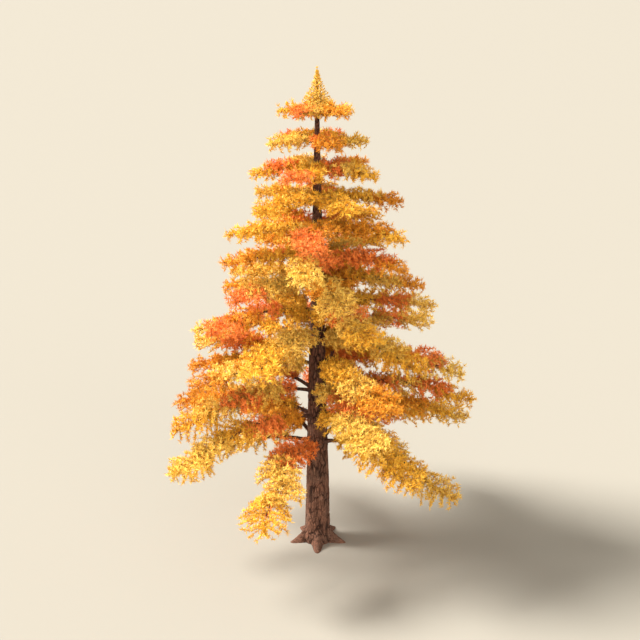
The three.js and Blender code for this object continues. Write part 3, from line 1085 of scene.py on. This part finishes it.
print("random draws start from seed", TWIG_SEED)

# %% [markdown]
# ## Needles
#
# A larch carries its needles in tufts on short spurs along each shoot, which is how it
# differs from a spruce or a pine. Each needle is a slim kite of two faces, folded along
# its rib, so it catches light from any side. Larger faces with a picture of needles cut
# out would be fewer, but they would look flat from close by and could not be printed.

# %% Tufts of needles
SPUR_STEP = 0.056
LEAST_SPURS = 2
FIRST_SPUR = 0.10
SPUR_STRAY = 0.012
SPUR_LIFT = 0.55
SPUR_LEAN = 0.25
TUFT = 9
OPENING = (0.45, 1.45)
NEEDLE_LENGTH = 0.110
NEEDLE_WIDTH = 0.022
LENGTH_SHARES = (0.72, 1.15)
WIDTH_SHARES = (0.85, 1.15)
NEEDLE_WIDEST = 0.30
NEEDLE_FOLD = 0.35
NEEDLE_TILT = 0.55
NEEDLE_FACES = [0, 1, 2, 0, 2, 3]
POINT_TONES = (-0.06, 0.02, 0.18, 0.02)
TONE = 0.38
TONE_STRAY = 0.14
TRUNK_ROOM = 0.05


def tufts(curves, upright):
    """Spur places along shoots, and the way each spur points."""
    places, aims = [], []
    for curve in curves:
        steps = np.diff(curve, axis=0)
        lengths = np.linalg.norm(steps, axis=1)
        total = lengths.sum()
        count = max(LEAST_SPURS, int(total / SPUR_STEP))
        at = np.linspace(FIRST_SPUR * total, total, count)
        at += DRAWS.uniform(-SPUR_STRAY, SPUR_STRAY, count)
        marks = np.concatenate([[0], np.cumsum(lengths)])
        step = np.clip(np.searchsorted(marks, at) - 1, 0, len(steps) - 1)
        share = ((at - marks[step]) / lengths[step])[:, None]
        run = unit(steps[step])
        around = unit(np.cross(run, DRAWS.normal(0, 1, (count, 3))))
        places.append(curve[step] + steps[step] * share)
        aims.append(unit(around + SPUR_LIFT * upright + SPUR_LEAN * run))
    return np.concatenate(places), np.concatenate(aims)


def clear_of_trunk(places, aims):
    """Only the tufts that stand clear of the bark."""
    from_axis = np.hypot(places[:, 0], places[:, 1])
    free = from_axis > trunk_taper(places[:, 2]) + TRUNK_ROOM
    return places[free], aims[free]


def needles(places, aims, light=0.0, length=NEEDLE_LENGTH):
    """The four points of each needle, root, side, tip and side, and their tones.

    light and length are one number, or one for each tuft."""
    count = len(places) * TUFT
    light = np.broadcast_to(light, len(places))
    length = np.broadcast_to(length, len(places))
    roots, aims, light, length = (
        np.repeat(values, TUFT, axis=0) for values in (places, aims, light, length)
    )
    spread = unit(np.cross(aims, DRAWS.normal(0, 1, (count, 3))))
    opening = DRAWS.uniform(*OPENING, count)[:, None]
    ways = aims * np.cos(opening) + spread * np.sin(opening)
    lengths = (length * DRAWS.uniform(*LENGTH_SHARES, count))[:, None]
    facing = unit(UP + DRAWS.normal(0, NEEDLE_TILT, (count, 3)))
    widths = NEEDLE_WIDTH * DRAWS.uniform(*WIDTH_SHARES, count)[:, None]
    sides = unit(np.cross(ways, facing)) * widths / 2
    middles = roots + ways * lengths * NEEDLE_WIDEST + np.cross(ways, sides) * NEEDLE_FOLD
    corners = np.stack([roots, middles - sides, roots + ways * lengths, middles + sides], axis=1)
    tone = np.clip(DRAWS.normal(TONE, TONE_STRAY, count) + light, 0, 1)
    return corners, tone[:, None] + np.array(POINT_TONES)


print("a needle is", NEEDLE_LENGTH * 1000, "mm long, larger than life, in a tuft of", TUFT)

# %% Grow every spray
RIB_BARE_RINGS = 3
TINT_START = 0.55
TINT_TURN = 0.8
LIGHT_TURNS = 9
SPRAY_CONTRAST = 0.50
TOP_LIGHT = 0.20
grown = {(band, tint): [] for band in range(len(BANDS)) for tint in TINTS}
wood = {band: {"shoots": [], "ribs": []} for band in range(len(BANDS))}


def tint_of(bough, spray):
    """The whorl turns the draw on, so sprays above each other seldom share a tint."""
    draw = (spray["tint"] + TINT_START + TINT_TURN * bough["whorl"]) % 1
    return next(tint for tint, share in zip(TINTS, TINT_SHARES) if draw < share)


def grow_spray(bough, spray):
    band = band_of(bough["whorl"])
    axes = spray_axes(bough, spray)
    ends = spray_rib(bough, spray, axes)
    rib = on_rib(ends, np.linspace(0, 1, RIB_RINGS))
    shoots = spray_shoots(spray, axes, ends)
    wood[band]["shoots"].append(shoots)
    wood[band]["ribs"].append(rib[None])
    places, aims = clear_of_trunk(*tufts([*shoots, rib[RIB_BARE_RINGS:]], axes[2]))
    # Needles high in a spray are painted lighter and low ones darker: painted light on top, painted
    # shade beneath.
    rise = (places - ends[1]) @ axes[2] / (spray["length"] * SPRAY_THICKNESS / 2)
    own_light = SPRAY_CONTRAST * (spray["tint"] * LIGHT_TURNS % 1 - 0.5)
    light = own_light + TOP_LIGHT * np.clip(rise, -1, 1)
    grown[band, tint_of(bough, spray)].append(needles(places, aims, light))


def grow_on_limb(bough):
    """Tufts on the limb itself, in the tint of its innermost spray."""
    first, last = bough["sprays"][0], bough["sprays"][-1]
    stops = np.linspace(inner_edge(bough), last["along"], LIMB_RINGS)
    limb = np.array([on_limb(bough, along) for along in stops])
    tufted = needles(*clear_of_trunk(*tufts([limb], UP)))
    grown[band_of(bough["whorl"]), tint_of(bough, first)].append(tufted)


for boughs in crown:
    for bough in boughs:
        for spray in bough["sprays"]:
            grow_spray(bough, spray)
    for bough in boughs:
        grow_on_limb(bough)

needle_count = sum(len(corners) for parts in grown.values() for corners, _ in parts)
print("needles:", needle_count)

# %% [markdown]
# ## Leader
#
# The tree's tip is this year's shoot. It stands straight up out of the trunk's end, and
# short side shoots close round it into a narrow spire of young needles.

# %% The leader's spire
LEADER_RADIUS = (0.040, 0.004)
LEADER_RINGS = 6
LEADER_BARE_RINGS = 2
LEADER_SOCKET = 0.03
SPIRE_FOOT = 11.14
SPIRE_RADIUS = 0.31
SPIRE_CLOSING = 1.45
SPIRE_TIERS = 14
SPIRE_SHOOTS = 8
TIER_TURN = 0.38
SPIRE_STRAY = 0.2
SPIRE_RISE = 0.07
SPIRE_SAG = 0.02
LEAST_REACH = 0.02
SPIRE_TIP_ROOM = 0.045
LAST_TIER_ROOM = 0.04
SPIRE_NEEDLES = (0.075, 0.045)
SPIRE_LIGHT = 0.15
BUD_NEEDLE = 0.06
BUD_DEPTH = 0.02

tip = TREE_TOP - SPIRE_TIP_ROOM
leader_curve = np.linspace(TRUNK_TOP - LEADER_SOCKET, tip, LEADER_RINGS)[:, None] * UP
spire_shoots = []
for tier in range(SPIRE_TIERS):
    share = tier / SPIRE_TIERS
    foot = mix(SPIRE_FOOT, tip - LAST_TIER_ROOM, share)
    reach = max(LEAST_REACH, SPIRE_RADIUS * (1 - share) ** SPIRE_CLOSING)
    for number in range(SPIRE_SHOOTS):
        turn = 2 * math.pi * (number / SPIRE_SHOOTS + tier * TIER_TURN)
        heading = turn + DRAWS.uniform(-SPIRE_STRAY, SPIRE_STRAY)
        out = np.array([math.cos(heading), math.sin(heading), 0.0])
        start = (foot - SPIRE_SAG) * UP
        end = (foot + SPIRE_RISE * (1 - share)) * UP + reach * out
        bend = (start + end) / 2 - SPIRE_SAG * UP
        spire_shoots.append(arc(start, bend, end, np.linspace(0, 1, SHOOT_RINGS)[:, None]))
spire_shoots = np.array(spire_shoots)
top_band = len(BANDS) - 1
wood[top_band]["shoots"].append(spire_shoots)
places, aims = tufts([*spire_shoots, leader_curve[LEADER_BARE_RINGS:]], UP)
low_enough = places[:, 2] < tip
places, aims = places[low_enough], aims[low_enough]
climb = np.clip((places[:, 2] - SPIRE_FOOT) / (tip - SPIRE_FOOT), 0, 1)
spire = needles(places, aims, SPIRE_LIGHT, mix(*SPIRE_NEEDLES, climb))
bud = needles((tip - BUD_DEPTH) * UP[None], UP[None], SPIRE_LIGHT, BUD_NEEDLE)
grown[top_band, "lemon"] += [spire, bud]
print("spire shoots:", len(spire_shoots), "tufts:", len(places))

# %% [markdown]
# ## Joined pieces
#
# Everything grown so far is still only arrays. Each tint of needles becomes one mesh for
# each band of the crown, and so do ribs and twigs. Tens of thousands of small objects
# would slow Blender down, and one mesh for the whole crown would be too large to export.

# %% Needle pieces
for (band, tint), parts in grown.items():
    points = np.concatenate([corners for corners, _ in parts])
    tones = np.concatenate([tone for _, tone in parts])
    faces = np.arange(tones.size).reshape(-1, 4)[:, NEEDLE_FACES].reshape(-1, 3)
    piece = add_mesh(f"needles_{tint}_{BAND_NAMES[band]}", points, faces, needle_paint[tint])
    store(piece, "tone", tones.ravel())
    keep(piece, needle_nodes(band))

# %% Twig pieces
RIB_SIDES = 5
TWIG_SIDES = 3
TWIG_RELIEF = 0.8


def tapered(pair, count, rings):
    return np.tile(np.linspace(*pair, rings), (count, 1))


for band, parts in wood.items():
    ribs = np.concatenate(parts["ribs"])
    radii = tapered(RIB_RADIUS, len(ribs), RIB_RINGS)
    piece = add_tubes("ribs_" + BAND_NAMES[band], ribs, radii, RIB_SIDES, twig_bark, TWIG_RELIEF)
    keep(piece, needle_nodes(band))
    shoots = np.concatenate(parts["shoots"])
    radii = tapered(SHOOT_RADIUS, len(shoots), SHOOT_RINGS)
    name = "twigs_" + BAND_NAMES[band]
    piece = add_tubes(name, shoots, radii, TWIG_SIDES, twig_bark, TWIG_RELIEF, smooth=False)
    keep(piece, needle_nodes(band))

radii = tapered(LEADER_RADIUS, 1, LEADER_RINGS)
leader = add_tubes("leader_shoot", leader_curve[None], radii, LIMB_SIDES, bough_bark, LIMB_RELIEF)
keep(leader, ["leader"])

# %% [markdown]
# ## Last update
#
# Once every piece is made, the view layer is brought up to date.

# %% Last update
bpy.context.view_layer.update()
